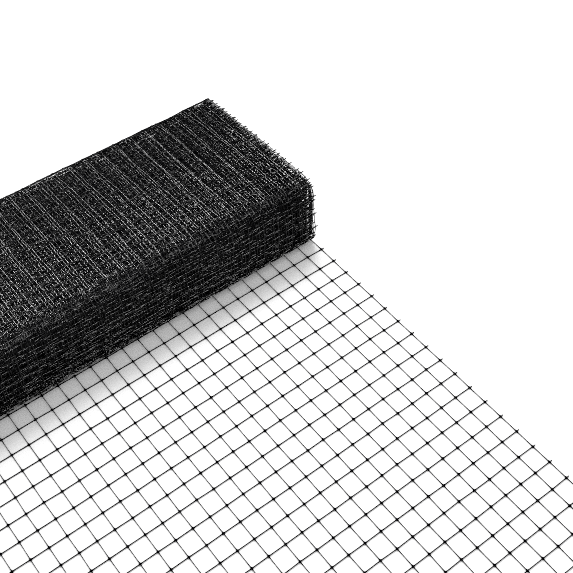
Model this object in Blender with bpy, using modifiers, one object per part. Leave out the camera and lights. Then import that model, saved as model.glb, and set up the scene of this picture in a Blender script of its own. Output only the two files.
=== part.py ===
"""A roll of bird netting: extruded plastic net wound into a soft, slumped roll, with its loose end lying flat.

Units are metres, +Z up. X runs along the roll's axis and -Y towards the free end of the net.
The roll is a loft between uneven sections. The loose end is a thin sheet, cut through at twice the real mesh.
"""

import math
from collections import namedtuple

import bmesh
import bpy
import numpy as np

# The netting: distance between knots across the net and along it, and how many meshes are modelled.
MESH_ACROSS = 0.0175
MESH_ALONG = 0.020
MESHES_ACROSS = 52
MESHES_LOOSE = 22
MESHES_PER_GAP = 2
BAR_WIDTH = 0.002
SHEET_THICKNESS = 0.0015
STUB = 0.003
SEAT_GAP = 0.0003

# The roll's section, measured from the first row of knots that shows in front of the roll.
NET_WIDTH = MESHES_ACROSS * MESH_ACROSS
FIRST_ROW = 0.020
FRONT = 0.0105
BACK = 0.2055
TOP_AT_FRONT = 0.0882
TOP_AT_BACK = 0.0745
BOTTOM = SHEET_THICKNESS + SEAT_GAP
PLAIN_STRIP_BACK = 0.185

# The section's corners with their radii. The rest is of the side that follows the corner: its steps, its crown,
# and the height and spacing of the ridges of bunched net that run along the roll on it.
Side = namedtuple("Side", "corner radius steps crown ridge spacing")
SECTION = (
    Side((FRONT, BOTTOM), radius=0.012, steps=6, crown=0.0, ridge=0.0, spacing=0.020),
    Side((BACK, BOTTOM), radius=0.020, steps=8, crown=0.001, ridge=0.0010, spacing=0.016),
    Side((BACK, TOP_AT_BACK), radius=0.014, steps=32, crown=0.0016, ridge=0.0008, spacing=0.0215),
    Side((FRONT, TOP_AT_FRONT), radius=0.015, steps=17, crown=0.0, ridge=0.0012, spacing=0.0128),
)
ARC_STEPS = 4
SMALLEST_RADIUS = 0.002

# How the roll lies, in metres, at stations from its right end: shift back, lift of the top, swell of the front.
Station = namedtuple("Station", "along shift lift swell")
STATIONS = (
    Station(along=0.000, shift=0.0000, lift=-0.0012, swell=-0.0004),
    Station(along=0.045, shift=0.0000, lift=-0.0004, swell=0.0002),
    Station(along=0.100, shift=0.0011, lift=0.0002, swell=0.0005),
    Station(along=0.185, shift=0.0032, lift=0.0006, swell=0.0002),
    Station(along=0.280, shift=0.0052, lift=0.0003, swell=0.0006),
    Station(along=0.360, shift=0.0055, lift=0.0008, swell=0.0001),
    Station(along=0.470, shift=0.0046, lift=0.0002, swell=0.0007),
    Station(along=0.590, shift=0.0034, lift=0.0007, swell=0.0003),
    Station(along=0.720, shift=0.0022, lift=0.0001, swell=0.0008),
    Station(along=0.830, shift=0.0014, lift=0.0003, swell=0.0001),
    Station(along=0.910, shift=0.0010, lift=-0.0013, swell=-0.0005),
)
SECTIONS_ALONG = 34

# How far the ridges wander round the section along the roll, in turns of a ridge, and over what length.
RIDGE_WANDER = 0.16
RIDGE_WANDER_LENGTH = 0.27
RIDGE_FADE_SECTIONS = 2

# The ends: turns show as a spiral ridge from the rim to a slit-shaped eye.
EYE_INSET = 0.032
END_RIDGES = 4
RINGS_PER_RIDGE = 3
END_RIDGE_DEPTH = 0.0022
END_DISH = 0.004
EYE_DEPTH = 0.010


def clear_scene():
    for old in list(bpy.data.objects):
        bpy.data.objects.remove(old, do_unlink=True)


def black_plastic():
    """Extruded black polypropylene, smooth and a little glossy."""
    material = bpy.data.materials.new("black_net_plastic")
    material.use_nodes = True
    shader = material.node_tree.nodes["Principled BSDF"]
    shader.inputs["Base Color"].default_value = (0.012, 0.012, 0.014, 1.0)
    shader.inputs["Roughness"].default_value = 0.35
    shader.inputs["Metallic"].default_value = 0.0
    material.diffuse_color = (0.03, 0.03, 0.035, 1.0)
    return material


def outline(inset):
    """The closed section, moved in by inset: points (Y, Z), and each point's ridge.

    A ridge row holds its full height as a (Y, Z) move, the place along the side in ridges, and the side.
    """
    corners = np.array([side.corner for side in SECTION])
    to_next = np.roll(corners, -1, axis=0) - corners
    to_next /= np.linalg.norm(to_next, axis=1)[:, None]
    to_last = -np.roll(to_next, 1, axis=0)
    inward = to_next + to_last
    inward /= np.linalg.norm(inward, axis=1)[:, None]
    half_angle = np.arccos(np.sum(inward * to_next, axis=1))
    corners = corners + inward * (inset / np.sin(half_angle))[:, None]

    points, ridges = [], []
    starts, ends = [], []
    for k, side in enumerate(SECTION):
        radius = max(side.radius - inset, SMALLEST_RADIUS)
        reach = radius / math.tan(half_angle[k])
        centre = corners[k] + inward[k] * radius / math.sin(half_angle[k])
        starts.append((corners[k] + to_last[k] * reach, centre))
        ends.append((corners[k] + to_next[k] * reach, centre))
    for k, side in enumerate(SECTION):
        (first, centre), (last, _) = starts[k], ends[k]
        a, b = first - centre, last - centre
        turn = math.acos(np.dot(a, b) / np.dot(a, a))
        for step in range(ARC_STEPS + 1):
            share = step / ARC_STEPS
            arm = (a * math.sin((1 - share) * turn) + b * math.sin(share * turn)) / math.sin(turn)
            points.append(centre + arm)
            ridges.append(np.zeros(4))
        following = starts[(k + 1) % len(SECTION)][0]
        outward = np.array([to_next[k][1], -to_next[k][0]])
        length = np.linalg.norm(following - last)
        for step in range(1, side.steps):
            share = step / side.steps
            crown = side.crown * math.sin(math.pi * share)
            points.append(last + (following - last) * share + outward * crown)
            ridges.append(np.array([*outward * side.ridge, share * length / side.spacing, k]))
    return np.array(points), np.array(ridges)


def how_it_lies(along):
    """Shift, lift and swell at a distance along the roll, eased between the stations."""
    table = np.array(STATIONS)
    places, values = table[:, 0], table[:, 1:]
    k = min(max(np.searchsorted(places, along) - 1, 0), len(places) - 2)
    share = (along - places[k]) / (places[k + 1] - places[k])
    ease = share * share * (3 - 2 * share)
    return values[k] + (values[k + 1] - values[k]) * ease


def lie(section, along, ridge_share):
    """Moves a section's points to where the uneven roll has them at that distance along it."""
    points, ridges = section
    shift, lift, swell = how_it_lies(along)
    placed = points.copy()
    height = np.clip((points[:, 1] - BOTTOM) / (TOP_AT_FRONT - BOTTOM), 0, 1)
    depth = (points[:, 0] - FRONT) / (BACK - FRONT)
    wander = RIDGE_WANDER * np.sin(2 * np.pi * along / RIDGE_WANDER_LENGTH + 2 * ridges[:, 3])
    wave = -np.cos(2 * np.pi * (ridges[:, 2] + wander))
    placed += ridges[:, :2] * (ridge_share * wave)[:, None]
    placed[:, 0] += shift - swell * np.sin(np.pi * height) * (1 - depth)
    placed[:, 1] += lift * height ** 2
    return placed


def ring(mesh, xs, placed):
    return [mesh.verts.new((x, y, z)) for x, (y, z) in zip(xs, placed)]


def bridge(mesh, first, second):
    """Quads between two rings of equal count."""
    count = len(first)
    for k in range(count):
        after = (k + 1) % count
        mesh.faces.new((first[k], first[after], second[after], second[k]))


def end_rings(mesh, along, side):
    """Rings from the rim of one end to its eye, stepping in and out as the turns do, and the eye's floor."""
    rings = []
    steps = END_RIDGES * RINGS_PER_RIDGE
    for step in range(1, steps + 1):
        inset = EYE_INSET * step / steps
        placed = lie(outline(inset), along, 0.0)
        round_share = np.arange(len(placed)) / len(placed)
        phase = 2 * math.pi * (END_RIDGES * step / steps + round_share)
        dish = END_DISH * step / steps
        depth = dish + END_RIDGE_DEPTH * (0.5 - 0.5 * np.cos(phase))
        rings.append(ring(mesh, side * (NET_WIDTH / 2 - depth), placed))
    floor = [mesh.verts.new((v.co.x - side * EYE_DEPTH, v.co.y, v.co.z)) for v in rings[-1]]
    rings.append(floor)
    return rings


def wound_roll(collection, material):
    """The wound part: a loft of uneven sections, with spiral ridges and an eye at each end."""
    mesh = bmesh.new()
    body = []
    for k in range(SECTIONS_ALONG + 1):
        along = NET_WIDTH * k / SECTIONS_ALONG
        inner = min(k, SECTIONS_ALONG - k)
        placed = lie(outline(0.0), along, min(inner / RIDGE_FADE_SECTIONS, 1.0))
        body.append(ring(mesh, [NET_WIDTH / 2 - along] * len(placed), placed))
    right = end_rings(mesh, 0.0, 1)
    left = end_rings(mesh, NET_WIDTH, -1)
    chain = right[::-1] + body + left
    for first, second in zip(chain, chain[1:]):
        bridge(mesh, first, second)
    mesh.faces.new(chain[0])
    mesh.faces.new(chain[-1])
    bmesh.ops.recalc_face_normals(mesh, faces=mesh.faces)
    return finish("wound_roll", mesh, collection, material)


def bar_lines(first, pitch, count):
    """Line positions on both sides of each bar of a row of evenly spaced bars."""
    lines = []
    for k in range(count):
        centre = first + k * pitch
        lines += [centre - BAR_WIDTH / 2, centre + BAR_WIDTH / 2]
    return lines


def loose_end(collection, material):
    """The loose end: a grid of bars, with short cut stubs round its edge and a plain strip under the roll."""
    gap_across = MESHES_PER_GAP * MESH_ACROSS
    gap_along = MESHES_PER_GAP * MESH_ALONG
    bars_across = MESHES_ACROSS // MESHES_PER_GAP + 1
    bars_along = MESHES_LOOSE // MESHES_PER_GAP + 1
    edge = NET_WIDTH / 2
    free_row = FIRST_ROW - MESHES_LOOSE * MESH_ALONG
    xs = [-edge - STUB] + bar_lines(-edge, gap_across, bars_across) + [edge + STUB]
    ys = [free_row - STUB] + bar_lines(free_row, gap_along, bars_along) + [PLAIN_STRIP_BACK]

    mesh = bmesh.new()
    columns, rows = len(xs) - 1, len(ys) - 1
    bmesh.ops.create_grid(mesh, x_segments=columns, y_segments=rows, size=0.5)
    for vertex in mesh.verts:
        column = round((vertex.co.x + 0.5) * columns)
        row = round((vertex.co.y + 0.5) * rows)
        vertex.co = (xs[column], ys[row], 0.0)

    def is_bar(value, lines):
        between = np.searchsorted(lines, value) - 1
        return between % 2 == 1

    open_faces = []
    for face in mesh.faces:
        middle = face.calc_center_median()
        in_strip = middle.y > ys[-2] and abs(middle.x) < edge + BAR_WIDTH / 2
        if not (in_strip or is_bar(middle.x, xs) and middle.y < ys[-2] or is_bar(middle.y, ys)):
            open_faces.append(face)
    bmesh.ops.delete(mesh, geom=open_faces, context="FACES")
    for face in mesh.faces:
        if face.normal.z < 0:
            face.normal_flip()
    sheet = finish("loose_end", mesh, collection, material)
    solidify = sheet.modifiers.new("thickness", "SOLIDIFY")
    solidify.thickness = SHEET_THICKNESS
    solidify.offset = 1.0
    return sheet


def finish(name, mesh, collection, material):
    data = bpy.data.meshes.new(name)
    mesh.to_mesh(data)
    mesh.free()
    data.materials.append(material)
    made = bpy.data.objects.new(name, data)
    collection.objects.link(made)
    return made


def centre_on_origin(parts):
    """Puts the origin at the middle of the whole part's footprint, on the surface that it lies on."""
    corners = np.array([vertex.co[:2] for part in parts for vertex in part.data.vertices])
    middle = (corners.min(axis=0) + corners.max(axis=0)) / 2
    for part in parts:
        for vertex in part.data.vertices:
            vertex.co.x -= middle[0]
            vertex.co.y -= middle[1]


def main():
    clear_scene()
    collection = bpy.data.collections.new("bird_netting_roll")
    bpy.context.scene.collection.children.link(collection)
    material = black_plastic()
    parts = [wound_roll(collection, material), loose_end(collection, material)]
    centre_on_origin(parts)


main()
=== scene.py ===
"""A roll of bird netting: black extruded net wound into a soft, slumped roll, with its loose end lying flat.

Metres, +Z up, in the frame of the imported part. The net is one surface, with a place along it in rows of knots
and a place across it in columns. It lies flat from its free end, runs under the roll and winds inwards.
"""

import math
from collections import namedtuple

import bpy
import numpy as np
from mathutils import Matrix, Vector


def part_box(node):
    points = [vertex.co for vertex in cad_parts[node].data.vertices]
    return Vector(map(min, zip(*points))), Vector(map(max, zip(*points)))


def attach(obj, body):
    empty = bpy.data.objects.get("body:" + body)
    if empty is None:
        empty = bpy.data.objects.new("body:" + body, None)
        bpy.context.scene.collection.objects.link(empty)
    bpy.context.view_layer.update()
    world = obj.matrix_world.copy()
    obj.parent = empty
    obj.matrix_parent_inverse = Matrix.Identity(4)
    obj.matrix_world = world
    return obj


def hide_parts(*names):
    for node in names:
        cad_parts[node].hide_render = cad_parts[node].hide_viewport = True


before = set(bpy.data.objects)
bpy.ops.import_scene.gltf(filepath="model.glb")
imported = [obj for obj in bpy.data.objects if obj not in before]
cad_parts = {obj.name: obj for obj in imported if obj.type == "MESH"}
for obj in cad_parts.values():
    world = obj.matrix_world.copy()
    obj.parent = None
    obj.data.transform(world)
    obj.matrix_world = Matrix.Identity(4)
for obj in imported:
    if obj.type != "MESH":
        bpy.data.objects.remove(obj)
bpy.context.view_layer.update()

bl_info = {
    "name": "Bird Netting Roll",
    "version": (1, 0, 0),
    "blender": (4, 5, 0),
    "location": "View3D > Sidebar > Netting",
    "description": "Builds a roll of extruded garden netting with its loose end, strand by strand",
    "category": "Add Mesh",
}

BODY = "root"
MM = 0.001

# The cut of netting: its mesh and its count of meshes, across it, before the roll and under the roll.
MESH_ACROSS = 0.0175
MESH_ALONG = 0.020
MESHES_ACROSS = 52
MESHES_LOOSE = 22
MESHES_UNDER = 8
FIRST_ROW = 0.020

# A strand's points, as shares of each mesh: the wound net's long and cross strands, and the flat net's.
LONG_SHARES = (0.0, 1 / 3, 2 / 3)
CROSS_SHARES = (0.0, 0.09, 0.91)
FLAT_SHARES = (0.0, 0.05, 0.10, 0.5, 0.90, 0.95)
WOUND_STRAND_SIDES = 3
FLAT_STRAND_SIDES = 4

# The cut edges' stubs with the place where they leave their knot, how full a knot is beside its middle, and
# how far a knot of the flat net is off its place.
STUB = 0.003
STUB_NECK = 0.0011
KNOT_BROW = 0.6
FLAT_JITTER = 0.00012

# The photograph's own frame has its zero at the right selvedge, on the first row before the roll.
LOOSE_LOW, LOOSE_HIGH = (Vector(corner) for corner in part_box("loose_end"))
SHIFT_X = LOOSE_HIGH.x - STUB
FREE_ROW = FIRST_ROW - MESHES_LOOSE * MESH_ALONG
SHIFT_Y = LOOSE_LOW.y - (FREE_ROW - STUB)

# The roll's section: corners (Y, Z) in order front bottom, back bottom, back top, front top, with their
# radii, the crown of the side after each, and how much faster than the inset each radius falls. It sits on
# the flat net.
SEAT = 0.0018
SECTION_CORNERS = np.array([(0.0105, SEAT), (0.2055, SEAT), (0.2055, 0.0757), (0.0105, 0.0882)])
SECTION_RADII = np.array([0.012, 0.020, 0.022, 0.015])
SECTION_CROWNS = np.array([0.0, 0.001, 0.0016, 0.0])
SMALLEST_RADIUS = 0.0015
CORNER_SQUEEZE = np.array([0.0, 0.3, 1.0, 0.6])
SIDES = len(SECTION_CORNERS)
STRETCHES = 2 * SIDES

# How the roll lies at stations from its right end: along, shift back, lift of the top, swell of the front.
STATIONS = np.array([
    (0.000, 0.0000, -0.0012, -0.0004),
    (0.045, 0.0000, -0.0004, 0.0002),
    (0.100, 0.0011, 0.0002, 0.0005),
    (0.185, 0.0032, 0.0006, 0.0002),
    (0.280, 0.0052, 0.0003, 0.0006),
    (0.360, 0.0055, 0.0008, 0.0001),
    (0.470, 0.0046, 0.0002, 0.0007),
    (0.590, 0.0034, 0.0007, 0.0003),
    (0.720, 0.0022, 0.0001, 0.0008),
    (0.830, 0.0014, 0.0003, 0.0001),
    (0.910, 0.0010, -0.0013, -0.0005),
])

# The winding: turns that are real all along, then turns that are real only near the ends.
FULL_TURNS = 15
TURNS_PER_PIECE = 3
END_TURNS = 21
END_MESHES = 1
SAMPLES_PER_TURN = 720

# The place on the section where the winding starts, the turns over which the outer net sinks together, and
# the slack of the heart, in metres for the square of the turns past the full ones.
START_PLACE = 2.0
NESTED_TURNS = 3
HEART_SLACK = 0.000014

# Two lines along the roll where each turn's rows are given a phase, in meshes: the middle of the top and of
# the front, as shares of a turn. On the top the phases spread evenly, which gives a dense, even net. On the
# front they come in pairs, so that some rows fall together and show as dashed lines.
TOP_LINE = 0.4375
FRONT_LINE = 0.6875
TOP_SHIFT = 0.382
FRONT_PHASES = np.array([0.0, 0.5, 0.02, 0.52, 0.25, 0.75, 0.1, 0.6, 0.35, 0.85, 0.15, 0.65])
ROW_SLIP = 0.05

# How the wound net is uneven: meshes from a selvedge to the full sway, turns of one sway to and fro, the
# ripple's length round the roll and along it, and its slant from turn to turn. Its strands are slack, so a
# little thicker.
EDGE_MESHES = 1.0
TURNS_PER_SWAY = 10.6
RIPPLE = 0.045
RIPPLE_ACROSS = 0.05
RIPPLE_TURN = 0.1
WOUND_THICKNESS = 1.18

# Smooth noise: its count of waves, and the range of their rates. Each use has a seed, a rate and a width.
NOISE_WAVES = 5
NOISE_RATES = (0.6, 1.9)
Uneven = namedtuple("Uneven", "seed per_turn meshes")
WANDER = Uneven(seed=11, per_turn=3.1, meshes=12)
QUICK_SLIP = Uneven(seed=12, per_turn=2.3, meshes=9)
SLOW_SLIP = Uneven(seed=14, per_turn=0.3, meshes=7)
RIPPLE_SEED = 13
FLAT_SEED = 3
ROW_SEED = 21
TURNS_SEED = 100
ENDS_SEED = 200
BOW_SEED = 1000

# The closed inside: how far it lies under the last full turn and behind the end turns, and its points.
INSIDE_GAP = 0.0006
INSIDE_SETBACK = 0.002
INSIDE_STEPS = 160
INSIDE_RINGS = 60

# Rough directions that a strand's sides are turned by, never along the strand.
ACROSS_NET = np.array([1.0, 0.0, 0.0])
UP_AND_BACK = np.array([0.0, 0.6, 0.8])
UP = np.array([0.0, 0.0, 1.0])

# Allowances for rounding: in a length that is divided by, and in a count of rows.
TINY = 1e-12
WHOLE_ROW = 1e-6

# The plastic's finish. Real streaks and grain are too fine to show, so both are drawn coarser than they are.
# The roughness varies along a streak between two shares of its usual value.
STREAK = 6 * MM
GRAIN = 1.2 * MM
GRAIN_HEIGHT = 0.15 * MM
GRAIN_STRENGTH = 0.03
SMOOTHEST = 0.8
ROUGHEST = 1.25
POLYPROPYLENE_IOR = 1.49


def srgb(hex_colour):
    """A colour for a shader socket, from an sRGB hex value, by the standard's own curve."""
    value = hex_colour.lstrip("#")
    channels = [int(value[k:k + 2], 16) / 255 for k in (0, 2, 4)]
    linear = [c / 12.92 if c <= 0.04045 else ((c + 0.055) / 1.055) ** 2.4 for c in channels]
    return (*linear, 1.0)


def smooth_noise(seed, a, b):
    """A smooth uneven value of about -1 to 1, a sum of sines of (a, b) in seeded directions and phases."""
    rng = np.random.default_rng(seed)
    turn = rng.uniform(0, 2 * np.pi, NOISE_WAVES)
    rate = rng.uniform(*NOISE_RATES, NOISE_WAVES) * 2 * np.pi
    phase = rng.uniform(0, 2 * np.pi, NOISE_WAVES)
    total = sum(
        np.sin(rate[k] * (np.cos(turn[k]) * a + np.sin(turn[k]) * b) + phase[k]) for k in range(NOISE_WAVES)
    )
    return total / math.sqrt(NOISE_WAVES)


def uneven(kind, wind, column):
    """Smooth noise of the place on the net: turns wound and meshes across."""
    return smooth_noise(kind.seed, wind * kind.per_turn, column / kind.meshes)


def zigzag(value):
    """A triangle wave of -1 to 1 with a period of one."""
    return 4 * np.abs(value - np.floor(value) - 0.5) - 1


def section_point(inset, place):
    """Points and outward normals of the roll's section, moved in by inset.

    The place runs over eight stretches, an arc round each corner and then the side that follows it, so
    corner k's arc is 2k to 2k + 1. An arc's point is its centre plus its radius along a normal that turns
    from the last side's normal to the next one's. A side's point lies between two arcs' ends, raised by its
    crown as half a sine. A squeezed corner's radius falls faster than the inset grows, which packs its
    turns closer together there.
    """
    inset, place = np.broadcast_arrays(np.asarray(inset, float), np.asarray(place, float))
    ahead = np.roll(SECTION_CORNERS, -1, axis=0) - SECTION_CORNERS
    length = np.linalg.norm(ahead, axis=1)[:, None]
    ahead = ahead / length
    normal = np.stack([ahead[:, 1], -ahead[:, 0]], axis=1)
    inward = ahead - np.roll(ahead, 1, axis=0)
    inward /= np.linalg.norm(inward, axis=1)[:, None]
    sine = np.sqrt(1 - np.sum(inward * ahead, axis=1) ** 2)

    def arc(k):
        radius = np.maximum(SECTION_RADII[k] - (1 + CORNER_SQUEEZE[k]) * inset, SMALLEST_RADIUS)
        centre = SECTION_CORNERS[k] + inward[k] * ((inset + radius) / sine[k])[..., None]
        return centre, radius[..., None]

    stretch = np.floor(place).astype(int) % STRETCHES
    share = (place - np.floor(place))[..., None]
    k = stretch // 2
    after = (k + 1) % SIDES
    centre, radius = arc(k)
    centre_after, radius_after = arc(after)
    angle = np.arccos(np.sum(normal[k - 1] * normal[k], axis=-1))[..., None]
    turned = np.sin((1 - share) * angle) * normal[k - 1] + np.sin(share * angle) * normal[k]
    turned = turned / np.sin(angle)
    on_arc = centre + radius * turned
    start = centre + radius * normal[k]
    stop = centre_after + radius_after * normal[k]
    crown = SECTION_CROWNS[k][..., None] * np.sin(np.pi * share)
    on_side = start + (stop - start) * share + normal[k] * crown
    is_arc = (stretch % 2 == 0)[..., None]
    return np.where(is_arc, on_arc, on_side), np.where(is_arc, turned, normal[k])


def lie(x, y, z):
    """Moves points to where the uneven roll has them, eased by 3s^2 - 2s^3 between the stations along it."""
    along = np.clip(SHIFT_X - x, STATIONS[0, 0], STATIONS[-1, 0])
    k = np.clip(np.searchsorted(STATIONS[:, 0], along) - 1, 0, len(STATIONS) - 2)
    share = (along - STATIONS[k, 0]) / (STATIONS[k + 1, 0] - STATIONS[k, 0])
    ease = (share * share * (3 - 2 * share))[..., None]
    shift, lift, swell = np.moveaxis(STATIONS[k, 1:] * (1 - ease) + STATIONS[k + 1, 1:] * ease, -1, 0)
    height = np.clip((z - SEAT) / (SECTION_CORNERS[3, 1] - SEAT), 0, 1)
    depth = (y - SECTION_CORNERS[0, 0]) / (SECTION_CORNERS[1, 0] - SECTION_CORNERS[0, 0])
    return x, y + shift - swell * np.sin(np.pi * height) * (1 - depth), z + lift * height ** 2


class Winding:
    """The spiral that the net follows, and the rows of knots along it, counted from the roll's foot.

    The turns nest, as real ones do, with their rows in the gaps of the turns above. At two lines along the
    roll, one on its top and one on its front, each turn's rows are off the first turn's by a part of a
    mesh, give or take a small slip. Between the lines the net is stretched a little, to fit a count of
    meshes that agrees with both.
    """

    def __init__(self, turns, spacing, mesh_along):
        winds = np.linspace(0, turns, turns * SAMPLES_PER_TURN + 1)
        self.spacing = spacing
        points, _ = self.spot(winds)
        steps = np.linalg.norm(np.diff(points, axis=0), axis=1)
        length = np.concatenate([[0.0], np.cumsum(steps)])
        rng = np.random.default_rng(ROW_SEED)
        turn = np.arange(turns)
        crossings = np.stack([turn + TOP_LINE, turn + FRONT_LINE], axis=1).ravel()
        line = np.interp(crossings, winds, length)
        phase = np.stack([TOP_SHIFT * turn, FRONT_PHASES[turn % len(FRONT_PHASES)]], axis=1).ravel()
        phase = phase + ROW_SLIP * rng.uniform(-1, 1, 2 * turns)
        meshes = np.round(np.diff(line) / mesh_along - np.diff(phase)) + np.diff(phase)
        rows = round(line[0] / mesh_along) + phase[0] + np.concatenate([[0.0], np.cumsum(meshes)])
        tail = rows[-1] + (length[-1] - line[-1]) / mesh_along
        self.row = np.interp(length, [0.0, *line, length[-1]], [0.0, *rows, tail])
        self.winds = winds

    def spot(self, wind):
        """The section's point and normal after a number of turns.

        The depth is spacing times w^2 / (w + n), because the outer turns are slack enough to sink into each
        other, plus a square of the turns past the full ones, because the roll is loose at its heart.
        """
        slack = HEART_SLACK * np.maximum(wind - FULL_TURNS, 0) ** 2
        depth = self.spacing * wind ** 2 / (wind + NESTED_TURNS) + slack
        return section_point(depth, START_PLACE + STRETCHES * wind)

    def at(self, row):
        """Turns wound at a number of rows from the foot."""
        return np.interp(row, self.row, self.winds)

    def girth(self, row):
        """Y plus Z of the net's place on the section, which falls steadily over the top and the front."""
        point, _ = self.spot(self.at(row))
        return point[..., 0] + point[..., 1]

    def surface(self, row, x, out):
        """Points of the net at a row, at x across it, raised by out from its turn's surface."""
        point, normal = self.spot(self.at(row))
        point = point + normal * out[..., None]
        x, y, z = lie(x, point[..., 0], point[..., 1])
        return np.stack([x, y + SHIFT_Y, np.maximum(z, SEAT)], axis=-1)


def tubes(lines, radii, sides, lean):
    """Closed tubes along many lines at once.

    Each ring is the line's point plus its radius times cos and sin of evenly turned angles in the plane
    across the line, which is set by the line's tangent and a rough up direction. The radii are multiplied by
    pi / (n sin(pi / n)), so that a tube of n sides is as wide, on the mean, as the round strand. The ends
    are capped by one face each.
    """
    count, rings, _ = lines.shape
    radii = radii * np.pi / (sides * np.sin(np.pi / sides))
    tangent = np.gradient(lines, axis=1)
    tangent /= np.linalg.norm(tangent, axis=2, keepdims=True) + TINY
    rough = np.broadcast_to(lean, lines.shape)
    across = np.cross(tangent, rough)
    across /= np.linalg.norm(across, axis=2, keepdims=True) + TINY
    up = np.cross(across, tangent)
    angle = 2 * np.pi * (np.arange(sides) + 0.5) / sides
    ring = (
        across[:, :, None, :] * np.cos(angle)[None, None, :, None]
        + up[:, :, None, :] * np.sin(angle)[None, None, :, None]
    )
    points = (lines[:, :, None, :] + ring * radii[:, :, None, None]).reshape(-1, 3)

    first = (np.arange(count)[:, None, None] * rings + np.arange(rings - 1)[None, :, None]) * sides
    here = np.arange(sides)[None, None, :]
    after = (here + 1) % sides
    quads = np.stack([first + here, first + after, first + sides + after, first + sides + here], axis=-1)
    start_cap = np.arange(count)[:, None] * rings * sides + np.arange(sides)[None, ::-1]
    end_cap = (np.arange(count)[:, None] * rings + rings - 1) * sides + np.arange(sides)[None, :]
    return points, quads.reshape(-1, 4), np.concatenate([start_cap, end_cap])


def mesh_piece(name, parts, material):
    """One mesh from many sets of (points, faces, caps), put in as whole arrays, shaded smooth."""
    points, corners, sizes, offset = [], [], [], 0
    for part_points, *face_sets in parts:
        for faces in face_sets:
            corners.append((faces + offset).ravel())
            sizes.append(np.full(len(faces), faces.shape[1]))
        points.append(part_points)
        offset += len(part_points)
    points, corners, sizes = (np.concatenate(rows) for rows in (points, corners, sizes))
    mesh = bpy.data.meshes.new(name)
    mesh.vertices.add(len(points))
    mesh.vertices.foreach_set("co", points.astype(np.float32).ravel())
    mesh.loops.add(len(corners))
    mesh.loops.foreach_set("vertex_index", corners.astype(np.int32))
    mesh.polygons.add(len(sizes))
    mesh.polygons.foreach_set("loop_start", np.concatenate([[0], np.cumsum(sizes)[:-1]]).astype(np.int32))
    mesh.polygons.foreach_set("use_smooth", np.ones(len(sizes), bool))
    mesh.update(calc_edges=True)
    mesh.materials.append(material)
    piece = bpy.data.objects.new(name, mesh)
    bpy.context.scene.collection.objects.link(piece)
    return piece


def knot_drifts(winding, sizes, rows, columns, seed):
    """How far each knot is off its even place, as (row, column, 3): along the net, across it and outwards.

    Each drift is smooth noise of the knot's place plus seeded jitter. Across, the whole net sways to and
    fro from turn to turn, as a triangle wave, and its selvedges sway only a little, and inwards. Outwards,
    the ripple follows the place on the section, so that a turn lies in the dips of the one beneath it.
    """
    rng = np.random.default_rng(seed)
    row, column = rows[:, None], columns[None, :]
    wind = winding.at(row)
    jitter = rng.normal(0, 1, (3, len(rows), len(columns)))
    inside = np.clip(np.minimum(column, MESHES_ACROSS - column) / EDGE_MESHES, 0, 1)
    sway = sizes.edge_drift + (sizes.drift - sizes.edge_drift) * inside
    inward = sizes.edge_drift * (1 - inside) * np.sign(column - MESHES_ACROSS / 2)
    wander = sizes.edge_drift * uneven(WANDER, wind, column)
    across = sway * zigzag(wind / TURNS_PER_SWAY) + inward + wander
    along = uneven(QUICK_SLIP, wind, column) + uneven(SLOW_SLIP, wind, column)
    across_ripple = column * sizes.mesh_across / RIPPLE_ACROSS
    ripple = smooth_noise(RIPPLE_SEED, winding.girth(row) / RIPPLE, across_ripple + RIPPLE_TURN * wind)
    return np.stack([
        sizes.row_drift * along + sizes.skew * jitter[0],
        across + sizes.jitter * jitter[1],
        sizes.loft * ripple + sizes.lift * jitter[2],
    ], axis=-1)


def between(values, shares):
    """Values at the knots of lines, carried to some shares of each mesh along them in straight lines."""
    share = np.asarray(shares)[None, None, :, None]
    inner = values[:, :-1, None] * (1 - share) + values[:, 1:, None] * share
    return np.concatenate([inner.reshape(len(values), -1, values.shape[-1]), values[:, -1:]], axis=1)


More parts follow.
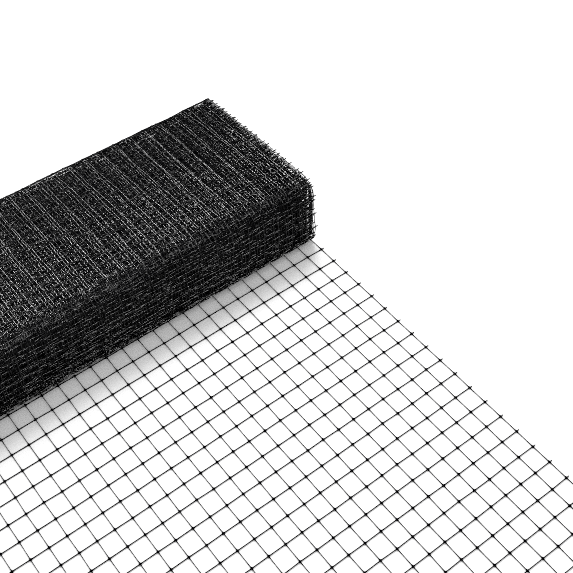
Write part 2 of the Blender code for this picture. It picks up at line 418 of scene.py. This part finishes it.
def wound_parts(winding, sizes, first_wind, last_wind, columns, seed):
    """Strands of the wound net between two winds, over a range of columns: along the net and across it.

    A point of a strand is winding.surface(row, x, out) of its drifted row, place across and height. The
    drifts run straight from knot to knot, and the strand between two knots bows a little, as sine squared.
    """
    first_row = math.ceil(np.interp(first_wind, winding.winds, winding.row) - WHOLE_ROW)
    last_row = math.floor(np.interp(last_wind, winding.winds, winding.row) + WHOLE_ROW)
    rows = np.arange(first_row, last_row + 1)
    low, high = columns
    columns = np.arange(low, high + 1)
    drifts = knot_drifts(winding, sizes, rows, columns, seed)
    rng = np.random.default_rng(seed + BOW_SEED)

    def strung(lines, first, shares, bowed):
        """The lines' mesh counts and drifts at some shares of each mesh, with a bow in one of the drifts."""
        drift = between(lines, shares)
        bow = rng.normal(0, sizes.bow, (len(lines), lines.shape[1] - 1, 1))
        bow = bow * np.sin(np.pi * np.array(shares)) ** 2
        drift[:, :-1, bowed] += bow.reshape(len(lines), -1)
        count = between(np.arange(lines.shape[1], dtype=float)[None, :, None], shares)[..., 0] + first
        return count, drift

    def place(row, column, drift):
        """Points of the wound net at rows and columns, with their drifts."""
        x = SHIFT_X - column * sizes.mesh_across + drift[..., 1]
        return winding.surface(row + drift[..., 0] / sizes.mesh_along, x, drift[..., 2])

    along, drift = strung(drifts.transpose(1, 0, 2), rows[0], LONG_SHARES, 1)
    lengthwise = place(along, columns[:, None], drift)
    thick, thin = WOUND_THICKNESS * sizes.along_thick / 2, WOUND_THICKNESS * sizes.along_thin / 2
    radii = np.concatenate([np.tile([thick, thin, thin], len(rows) - 1), [thick]])
    radii = np.broadcast_to(radii, lengthwise.shape[:2])
    parts = [tubes(lengthwise, radii, WOUND_STRAND_SIDES, ACROSS_NET)]

    across, drift = strung(drifts, low, CROSS_SHARES, 0)
    crosswise = place(rows[:, None], across, drift)
    knot, thick = sizes.knot / 2, WOUND_THICKNESS * sizes.across_thick / 2
    radii = np.concatenate([np.tile([knot, thick, thick], high - low), [knot]])
    stub = np.array([[STUB, 0.0, 0.0], [STUB_NECK, 0.0, 0.0]])
    bare = np.full(2, thick)
    if low == 0:
        crosswise = np.concatenate([crosswise[:, :1] + stub, crosswise], axis=1)
        radii = np.concatenate([bare, radii])
    if high == MESHES_ACROSS:
        crosswise = np.concatenate([crosswise, crosswise[:, -1:] - stub[::-1]], axis=1)
        radii = np.concatenate([radii, bare])
    radii = np.broadcast_to(radii, crosswise.shape[:2])
    parts.append(tubes(crosswise, radii, WOUND_STRAND_SIDES, UP_AND_BACK))
    return parts


def add_node(tree, kind, settings=None, **inputs):
    """A node with its settings, and its inputs as values or as links from another node's output."""
    node = tree.nodes.new(kind)
    for key, value in (settings or {}).items():
        setattr(node, key, value)
    for key, value in inputs.items():
        socket = node.inputs[key.replace("_", " ")]
        if isinstance(value, bpy.types.NodeSocket):
            tree.links.new(value, socket)
        else:
            socket.default_value = value
    return node


def extruded_polypropylene(name, dark, light, roughness):
    """Black polypropylene, extruded as net and drawn while warm.

    Its surface is as smooth as the die left it, so that a strand gives a thin bright glint on near black.
    Drawing makes it a little uneven along the strand, which breaks the glint up.
    """
    material = bpy.data.materials.new(name)
    material.use_nodes = True
    tree = material.node_tree
    tree.nodes.clear()
    place = add_node(tree, "ShaderNodeTexCoord").outputs["Object"]
    streak = add_node(tree, "ShaderNodeTexNoise", Vector=place, Scale=1 / STREAK, Detail=2.0).outputs["Fac"]
    colour = add_node(tree, "ShaderNodeMix", {"data_type": "RGBA"}, Factor=streak, A=dark, B=light)
    gloss = add_node(
        tree, "ShaderNodeMapRange", Value=streak, To_Min=roughness * SMOOTHEST, To_Max=roughness * ROUGHEST,
    )
    grain = add_node(tree, "ShaderNodeTexNoise", Vector=place, Scale=1 / GRAIN, Detail=1.0).outputs["Fac"]
    bump = add_node(tree, "ShaderNodeBump", Height=grain, Strength=GRAIN_STRENGTH, Distance=GRAIN_HEIGHT)
    shader = add_node(
        tree, "ShaderNodeBsdfPrincipled",
        Base_Color=colour.outputs["Result"], Roughness=gloss.outputs["Result"], Normal=bump.outputs["Normal"],
        IOR=POLYPROPYLENE_IOR,
    )
    output = add_node(tree, "ShaderNodeOutputMaterial", Surface=shader.outputs["BSDF"])
    output.is_active_output = True
    return material


class NettingSizes(bpy.types.PropertyGroup):
    """The net's own sizes."""

    mesh_across: bpy.props.FloatProperty(
        name="Mesh across", description="Distance between knots across the net",
        default=MESH_ACROSS, min=0.005, max=0.1, unit="LENGTH",
    )
    mesh_along: bpy.props.FloatProperty(
        name="Mesh along", description="Distance between knots along the net",
        default=MESH_ALONG, min=0.005, max=0.1, unit="LENGTH",
    )
    across_thick: bpy.props.FloatProperty(
        name="Cross strand at knots", description="Thickness of a strand across the net beside its knots",
        default=0.00086, min=0.0002, max=0.005, unit="LENGTH",
    )
    across_thin: bpy.props.FloatProperty(
        name="Cross strand at mid-mesh",
        description="Thickness of a strand across the net halfway between knots",
        default=0.0008, min=0.0002, max=0.005, unit="LENGTH",
    )
    along_thick: bpy.props.FloatProperty(
        name="Long strand at knots", description="Thickness of a strand along the net beside its knots",
        default=0.00078, min=0.0002, max=0.005, unit="LENGTH",
    )
    along_thin: bpy.props.FloatProperty(
        name="Long strand at mid-mesh",
        description="Thickness of a strand along the net halfway between knots",
        default=0.00058, min=0.0002, max=0.005, unit="LENGTH",
    )
    knot: bpy.props.FloatProperty(
        name="Knot", description="Thickness of the swelling where two strands join",
        default=0.0018, min=0.0004, max=0.01, unit="LENGTH",
    )
    turn_spacing: bpy.props.FloatProperty(
        name="Turn spacing", description="Distance between one turn of the roll and the next",
        default=0.0008, min=0.0005, max=0.01, unit="LENGTH",
    )
    drift: bpy.props.FloatProperty(
        name="Drift", description="How far the wound net's long strands wander sideways",
        default=0.0087, min=0.0, max=0.02, unit="LENGTH",
    )
    edge_drift: bpy.props.FloatProperty(
        name="Edge drift", description="How far the wound net's selvedges are out of line",
        default=0.0012, min=0.0, max=0.02, unit="LENGTH",
    )
    row_drift: bpy.props.FloatProperty(
        name="Row drift", description="How far the rows of the wound net wander round the roll",
        default=0.0008, min=0.0, max=0.02, unit="LENGTH",
    )
    loft: bpy.props.FloatProperty(
        name="Loft", description="How far the wound net stands off its turn's even surface",
        default=0.00035, min=0.0, max=0.01, unit="LENGTH",
    )
    jitter: bpy.props.FloatProperty(
        name="Knot jitter", description="How far each knot of the wound net is off its place",
        default=0.0003, min=0.0, max=0.01, unit="LENGTH",
    )
    skew: bpy.props.FloatProperty(
        name="Knot skew", description="How far each knot of the wound net is off its row",
        default=0.0007, min=0.0, max=0.01, unit="LENGTH",
    )
    lift: bpy.props.FloatProperty(
        name="Knot lift", description="How far each knot of the wound net is held off by the strands beneath",
        default=0.00015, min=0.0, max=0.01, unit="LENGTH",
    )
    bow: bpy.props.FloatProperty(
        name="Strand bow", description="How far a strand of the wound net bows between its knots",
        default=0.0003, min=0.0, max=0.01, unit="LENGTH",
    )


class NettingLooks(bpy.types.PropertyGroup):
    """The net's colours and finish, and the stage's light."""

    dark: bpy.props.FloatVectorProperty(
        name="Black", description="Colour of the plastic",
        subtype="COLOR", size=4, default=srgb("#020206"), min=0.0, max=1.0,
    )
    light: bpy.props.FloatVectorProperty(
        name="Drawn black", description="Colour of the plastic where it is drawn thin",
        subtype="COLOR", size=4, default=srgb("#08080c"), min=0.0, max=1.0,
    )
    roughness: bpy.props.FloatProperty(
        name="Roughness", description="Roughness of the plastic's surface",
        default=0.25, min=0.02, max=1.0, subtype="FACTOR",
    )
    sky: bpy.props.FloatProperty(
        name="Room light", description="Strength of the even white light all round",
        default=0.9, min=0.0, max=10.0,
    )
    overhead: bpy.props.FloatProperty(
        name="Overhead light", description="Power of the soft box above the roll",
        default=20.0, min=0.0, max=2000.0, unit="POWER",
    )
    bar: bpy.props.FloatProperty(
        name="Glint bar", description="Power of the long light that the strands along the net mirror",
        default=40.0, min=0.0, max=2000.0, unit="POWER",
    )
    fill: bpy.props.FloatProperty(
        name="Fill light",
        description="Power of the wide soft box behind, which every strand mirrors a little",
        default=4.0, min=0.0, max=2000.0, unit="POWER",
    )
    front: bpy.props.FloatProperty(
        name="Front bar", description="Power of the long light that the strands across the net mirror",
        default=16.0, min=0.0, max=2000.0, unit="POWER",
    )
    card: bpy.props.FloatProperty(
        name="Floor card", description="Power of the dim glow of the floor that the upright strands mirror",
        default=0.5, min=0.0, max=2000.0, unit="POWER",
    )
    side: bpy.props.FloatProperty(
        name="Side boxes", description="Power of each of the two soft boxes that the roll's ends mirror",
        default=20.0, min=0.0, max=2000.0, unit="POWER",
    )
    back: bpy.props.FloatProperty(
        name="Back bar", description="Power of the low light that the roll's back edge mirrors",
        default=34.0, min=0.0, max=2000.0, unit="POWER",
    )


# Two sets of pieces that some lamps light alone. The flat net is in neither, so its knots stay black.
ROLL = "roll"
ROLL_NET = "roll_net"


def lit_set(name):
    """The set of pieces with that name, made when it is first asked for."""
    return bpy.data.collections.get(name) or bpy.data.collections.new(name)


def settle(piece, replaced=None):
    """Lets a piece ride on the body, lit as its name says, in place of a named node."""
    if piece.name.startswith("wound"):
        lit_set(ROLL).objects.link(piece)
    if piece.name.startswith("wound_net"):
        lit_set(ROLL_NET).objects.link(piece)
    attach(piece, BODY)
    if replaced:
        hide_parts(replaced)


def net_material():
    """The one plastic that every piece is made of, from the looks that the panel shows."""
    looks = bpy.context.scene.netting_looks
    found = bpy.data.materials.get("extruded_polypropylene_black")
    return found or extruded_polypropylene(
        "extruded_polypropylene_black", tuple(looks.dark), tuple(looks.light), looks.roughness
    )


class NETTING_OT_loose_end(bpy.types.Operator):
    """Builds the flat loose end of the net, with its knots and the short stubs round its cut edges"""

    bl_idname = "netting.loose_end"
    bl_label = "Loose End"

    def execute(self, context):
        sizes = context.scene.netting_sizes
        rng = np.random.default_rng(FLAT_SEED)
        rows = np.arange(MESHES_LOOSE + MESHES_UNDER + 1)
        columns = np.arange(MESHES_ACROSS + 1)
        shape = (len(rows), len(columns))
        jitter_x = rng.normal(0, FLAT_JITTER, shape)
        jitter_y = rng.normal(0, FLAT_JITTER, shape)
        knot_x = SHIFT_X - columns[None, :] * sizes.mesh_across + jitter_x
        knot_y = SHIFT_Y + FREE_ROW + rows[:, None] * sizes.mesh_along + jitter_y
        knot = sizes.knot / 2
        knots = np.stack([knot_x, knot_y, np.full(shape, knot)], axis=-1)
        parts = []
        for axis, thick, thin in (
            (0, sizes.along_thick / 2, sizes.along_thin / 2),
            (1, sizes.across_thick / 2, sizes.across_thin / 2),
        ):
            spots = knots.transpose(1, 0, 2) if axis == 0 else knots
            count = spots.shape[1] - 1
            stub = np.zeros((2, 3))
            stub[:, 1 - axis] = np.array([STUB, STUB_NECK]) * (1 if axis == 0 else -1)
            ends = [spots[:, :1] - stub, between(spots, FLAT_SHARES)]
            brow = KNOT_BROW * knot + (1 - KNOT_BROW) * thick
            radii = [[thin, thin], np.tile([knot, brow, thick, thin, thick, brow], count), [knot]]
            if axis == 1:
                ends.append(spots[:, -1:] + stub[::-1])
                radii.append([thin, thin])
            lines = np.concatenate(ends, axis=1)
            radii = np.broadcast_to(np.concatenate(radii), lines.shape[:2])
            parts.append(tubes(lines, radii, FLAT_STRAND_SIDES, UP))
        piece = mesh_piece("loose_net", parts, net_material())
        settle(piece, "loose_end")
        return {"FINISHED"}


class NETTING_OT_wound_turns(bpy.types.Operator):
    """Builds the outer turns of the roll, every strand of them, in a few pieces from the outside in"""

    bl_idname = "netting.wound_turns"
    bl_label = "Wound Turns"

    def execute(self, context):
        sizes = context.scene.netting_sizes
        winding = Winding(FULL_TURNS + END_TURNS, sizes.turn_spacing, sizes.mesh_along)
        for number, first in enumerate(range(0, FULL_TURNS, TURNS_PER_PIECE)):
            last = min(first + TURNS_PER_PIECE, FULL_TURNS)
            parts = wound_parts(winding, sizes, first, last, (0, MESHES_ACROSS), TURNS_SEED + number)
            piece = mesh_piece(f"wound_net_{number + 1}", parts, net_material())
            settle(piece, "wound_roll" if number == 0 else None)
        return {"FINISHED"}


class NETTING_OT_end_turns(bpy.types.Operator):
    """Builds the inner turns of the roll where they show, at its two ends"""

    bl_idname = "netting.end_turns"
    bl_label = "End Turns"

    def execute(self, context):
        sizes = context.scene.netting_sizes
        turns = FULL_TURNS + END_TURNS
        winding = Winding(turns, sizes.turn_spacing, sizes.mesh_along)
        parts = []
        for columns in ((0, END_MESHES), (MESHES_ACROSS - END_MESHES, MESHES_ACROSS)):
            parts += wound_parts(winding, sizes, FULL_TURNS, turns, columns, ENDS_SEED + columns[0])
        piece = mesh_piece("wound_net_ends", parts, net_material())
        settle(piece)
        return {"FINISHED"}


class NETTING_OT_inside(bpy.types.Operator):
    """Builds the closed dark inside of the roll, where the turns lie too deep to be told apart"""

    bl_idname = "netting.inside"
    bl_label = "Inside"

    def execute(self, context):
        sizes = context.scene.netting_sizes
        inset = FULL_TURNS * sizes.turn_spacing + INSIDE_GAP
        ends = END_MESHES * sizes.mesh_across - INSIDE_SETBACK
        point, _ = section_point(inset, np.linspace(0, STRETCHES, INSIDE_STEPS + 1)[:-1])
        xs = np.linspace(SHIFT_X - ends, SHIFT_X - MESHES_ACROSS * sizes.mesh_across + ends, INSIDE_RINGS)
        x, y, z = lie(*np.broadcast_arrays(xs[:, None], point[:, 0], point[:, 1]))
        grid = np.stack([x, y + SHIFT_Y, z], axis=-1)
        first = np.arange(INSIDE_RINGS - 1)[:, None] * INSIDE_STEPS
        here = np.arange(INSIDE_STEPS)[None, :]
        after = (here + 1) % INSIDE_STEPS
        following = first + INSIDE_STEPS
        quads = np.stack([following + here, following + after, first + after, first + here], axis=-1)
        last_ring = (INSIDE_RINGS - 1) * INSIDE_STEPS + np.arange(INSIDE_STEPS)
        caps = np.stack([np.arange(INSIDE_STEPS), last_ring[::-1]])
        parts = [(grid.reshape(-1, 3), quads.reshape(-1, 4), caps)]
        piece = mesh_piece("wound_inside", parts, net_material())
        settle(piece)
        return {"FINISHED"}


# The camera, found from the knots of the flat net, in the photograph's own frame, and the floor's half width.
CAMERA_PLACE = Vector((-0.45139, -0.58713, 0.82377))
CAMERA_TURN = math.radians(34.6295)
CAMERA_DOWN = math.radians(49.9208)
CAMERA_ROLL = math.radians(-3.2654)
CAMERA_LENS = 67.663
CAMERA_SENSOR = 36.0
CAMERA_NEAR = 0.05
FLOOR_HALF = 20.0
PAPER_WHITE = "#fafafa"
PAPER_ROUGHNESS = 0.9

# A strand is about a pixel wide, so the picture is left sharp: a wider filter smears it into its neighbours.
PIXEL_FILTER = 1.0

# The lamps: place and target in metres, size, the look that gives the power, and the one set of pieces that
# it lights. A lamp with no set lights the floor and gives no gloss, and the others give gloss alone.
Lamp = namedtuple("Lamp", "name place target size power lit")
LAMPS = (
    Lamp("overhead_box", (0.8, 0.75, 1.6), (0.2, 0.2, 0.05), (0.6, 0.6), "overhead", None),
    Lamp("glint_bar", (-0.25, 0.88, 0.77), (0.05, 0.07, 0.08), (0.6, 0.07), "bar", ROLL),
    Lamp("fill_box", (0.50, 1.34, 1.05), (0.2, 0.17, 0.05), (1.4, 1.0), "fill", ROLL),
    Lamp("front_bar", (0.60, -1.20, 0.65), (0.2, 0.10, 0.05), (0.35, 0.30), "front", ROLL),
    Lamp("back_bar", (-0.75, 1.85, 0.22), (-0.1, 0.20, 0.05), (1.2, 0.24), "back", ROLL),
    Lamp("right_box", (2.0, 0.20, 0.70), (0.4, 0.1, 0.04), (0.6, 0.6), "side", ROLL_NET),
    Lamp("left_box", (-2.0, 0.20, 0.70), (-0.4, 0.1, 0.04), (0.6, 0.6), "side", ROLL_NET),
    Lamp("floor_card", (0.0, -0.04, 0.0006), (0.0, -0.04, 1.0), (1.0, 0.30), "card", ROLL),
)


class NETTING_OT_stage(bpy.types.Operator):
    """Sets the white floor, the soft studio light and the camera at the photograph's angle"""

    bl_idname = "netting.stage"
    bl_label = "Stage"

    def execute(self, context):
        looks = context.scene.netting_looks
        scene = context.scene
        floor_mesh = bpy.data.meshes.new("floor")
        corners = [(FLOOR_HALF * x, FLOOR_HALF * y, 0) for x, y in ((-1, -1), (1, -1), (1, 1), (-1, 1))]
        floor_mesh.from_pydata(corners, [], [(0, 1, 2, 3)])
        floor = bpy.data.objects.new("floor", floor_mesh)
        scene.collection.objects.link(floor)
        white = bpy.data.materials.new("white_studio_paper")
        white.use_nodes = True
        shader = white.node_tree.nodes["Principled BSDF"]
        shader.inputs["Base Color"].default_value = srgb(PAPER_WHITE)
        shader.inputs["Roughness"].default_value = PAPER_ROUGHNESS
        floor_mesh.materials.append(white)
        floor.visible_glossy = False

        world = bpy.data.worlds.new("studio")
        world.use_nodes = True
        background = world.node_tree.nodes["Background"]
        background.inputs["Color"].default_value = (1.0, 1.0, 1.0, 1.0)
        background.inputs["Strength"].default_value = looks.sky
        world.cycles_visibility.glossy = False
        scene.world = world

        for lamp in LAMPS:
            light = bpy.data.lights.new(lamp.name, "AREA")
            light.shape = "RECTANGLE"
            light.size, light.size_y = lamp.size
            light.energy = getattr(looks, lamp.power)
            hung = bpy.data.objects.new(lamp.name, light)
            hung.location = lamp.place
            aim = Vector(lamp.target) - hung.location
            hung.rotation_euler = aim.to_track_quat("-Z", "Y").to_euler()
            hung.visible_diffuse = lamp.lit is None
            hung.visible_glossy = lamp.lit is not None
            hung.visible_camera = False
            if lamp.lit:
                hung.light_linking.receiver_collection = lit_set(lamp.lit)
            scene.collection.objects.link(hung)

        camera = bpy.data.cameras.new("camera")
        camera.lens = CAMERA_LENS
        camera.sensor_width = CAMERA_SENSOR
        camera.clip_start = CAMERA_NEAR
        eye = bpy.data.objects.new("camera", camera)
        turn = Matrix.Rotation(-CAMERA_TURN, 4, "Z")
        tilt = Matrix.Rotation(math.pi / 2 - CAMERA_DOWN, 4, "X")
        roll = Matrix.Rotation(CAMERA_ROLL, 4, "Z")
        place = Matrix.Translation(CAMERA_PLACE + Vector((SHIFT_X, SHIFT_Y, 0.0)))
        eye.matrix_world = place @ turn @ tilt @ roll
        scene.collection.objects.link(eye)
        scene.camera = eye
        scene.view_settings.view_transform = "Standard"
        scene.cycles.use_denoising = False
        scene.cycles.filter_width = PIXEL_FILTER
        return {"FINISHED"}


class NETTING_PT_panel(bpy.types.Panel):
    """Lists the steps and the values that they use"""

    bl_label = "Bird Netting Roll"
    bl_idname = "NETTING_PT_panel"
    bl_space_type = "VIEW_3D"
    bl_region_type = "UI"
    bl_category = "Netting"

    def draw(self, context):
        for group in (context.scene.netting_sizes, context.scene.netting_looks):
            for name in group.__annotations__:
                self.layout.prop(group, name)
        for operator in OPERATORS:
            self.layout.operator(operator.bl_idname)


OPERATORS = (
    NETTING_OT_stage, NETTING_OT_loose_end, NETTING_OT_wound_turns, NETTING_OT_end_turns, NETTING_OT_inside,
)
CLASSES = (NettingSizes, NettingLooks, *OPERATORS, NETTING_PT_panel)


def register():
    for made in CLASSES:
        bpy.utils.register_class(made)
    bpy.types.Scene.netting_sizes = bpy.props.PointerProperty(type=NettingSizes)
    bpy.types.Scene.netting_looks = bpy.props.PointerProperty(type=NettingLooks)


def unregister():
    del bpy.types.Scene.netting_looks
    del bpy.types.Scene.netting_sizes
    for made in reversed(CLASSES):
        bpy.utils.unregister_class(made)


def main():
    """Builds the stage and every piece."""
    register()
    bpy.ops.netting.stage()
    bpy.ops.netting.loose_end()
    bpy.ops.netting.wound_turns()
    bpy.ops.netting.end_turns()
    bpy.ops.netting.inside()


if __name__ == "__main__":
    main()
